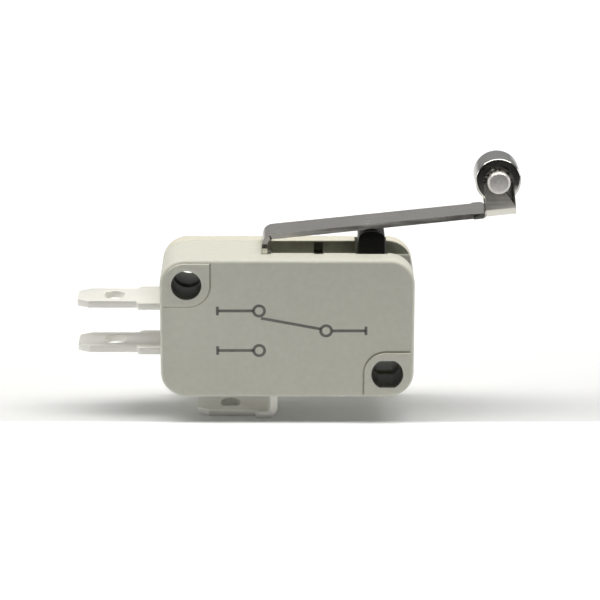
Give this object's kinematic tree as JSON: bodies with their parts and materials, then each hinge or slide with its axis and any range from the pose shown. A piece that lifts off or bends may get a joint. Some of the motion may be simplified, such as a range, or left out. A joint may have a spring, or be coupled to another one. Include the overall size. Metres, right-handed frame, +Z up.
{
  "type": "snap-action micro switch with a long roller lever",
  "caption": "Snap-action micro switch with a long hinged roller lever, flat quick-connect tabs and two through mounting holes; pressing the roller moves the plunger and the contact arm.",
  "frame": {"origin": "Axis of the round mounting hole at half the thickness of the case.", "axes": "+X runs along the case to the roller, -Y faces out of the front with the raised pads, +Z points up from the case to the lever."},
  "size_m": [0.049, 0.0104, 0.0296],
  "materials": {
    "moulding": "satin",
    "plunger_plastic": "satin",
    "lever_steel": "satin",
    "roller_steel": "polished",
    "pin_steel": "satin",
    "tinned_brass": "satin",
    "contact_silver": "satin",
    "arm_bronze": "satin",
    "spring_steel": "satin"
  },
  "bodies": {
    "case": {"case": "moulding", "cover": "moulding", "nc_terminal": "tinned_brass", "no_terminal": "tinned_brass", "com_terminal": "tinned_brass", "nc_contact": "contact_silver", "no_contact": "contact_silver", "snap_spring": "spring_steel"},
    "lever": {"lever": "lever_steel", "roller_pin": "pin_steel"},
    "roller": {"roller": "roller_steel"},
    "plunger": {"plunger": "plunger_plastic"},
    "actuating_lever": {"actuating_lever": "tinned_brass"},
    "contact_arm": {"contact_arm": "arm_bronze", "moving_contact": "contact_silver"}
  },
  "joints": [
    {"name": "lever_press", "type": "hinge", "parent": "case", "child": "lever", "pos_m": [0.0086, 0.0005, 0.0016], "axis": [0, 1, 0], "range_deg": [0, 10.3], "stiffness_Nm_per_rad": 0.12, "springref_deg": -8.59},
    {"name": "roller_spin", "type": "hinge", "parent": "lever", "child": "roller", "pos_m": [0.03431, 0.0005, 0.0109], "axis": [0, 1, 0], "continuous": true},
    {"name": "plunger_travel", "type": "slide", "parent": "case", "child": "plunger", "axis": [0, 0, -1], "range_m": [0, 0.00216]},
    {"name": "actuating_lever_swing", "type": "hinge", "parent": "case", "child": "actuating_lever", "pos_m": [0.0096, 0, -0.0082], "axis": [0, 1, 0], "range_deg": [0, 11.6], "deforming": ["snap_spring"]},
    {"name": "contact_arm_swing", "type": "hinge", "parent": "case", "child": "contact_arm", "pos_m": [0.0166, 0, -0.0054], "axis": [0, -1, 0], "range_deg": [0, 3.75], "deforming": ["snap_spring"]}
  ],
  "couplings": [
    {"joint": "plunger_travel", "follows": "lever_press", "m_per_rad": 0.0118},
    {"joint": "actuating_lever_swing", "follows": "lever_press", "ratio": 1.11},
    {"joint": "contact_arm_swing", "follows": "lever_press", "ratio": 0.358}
  ]
}
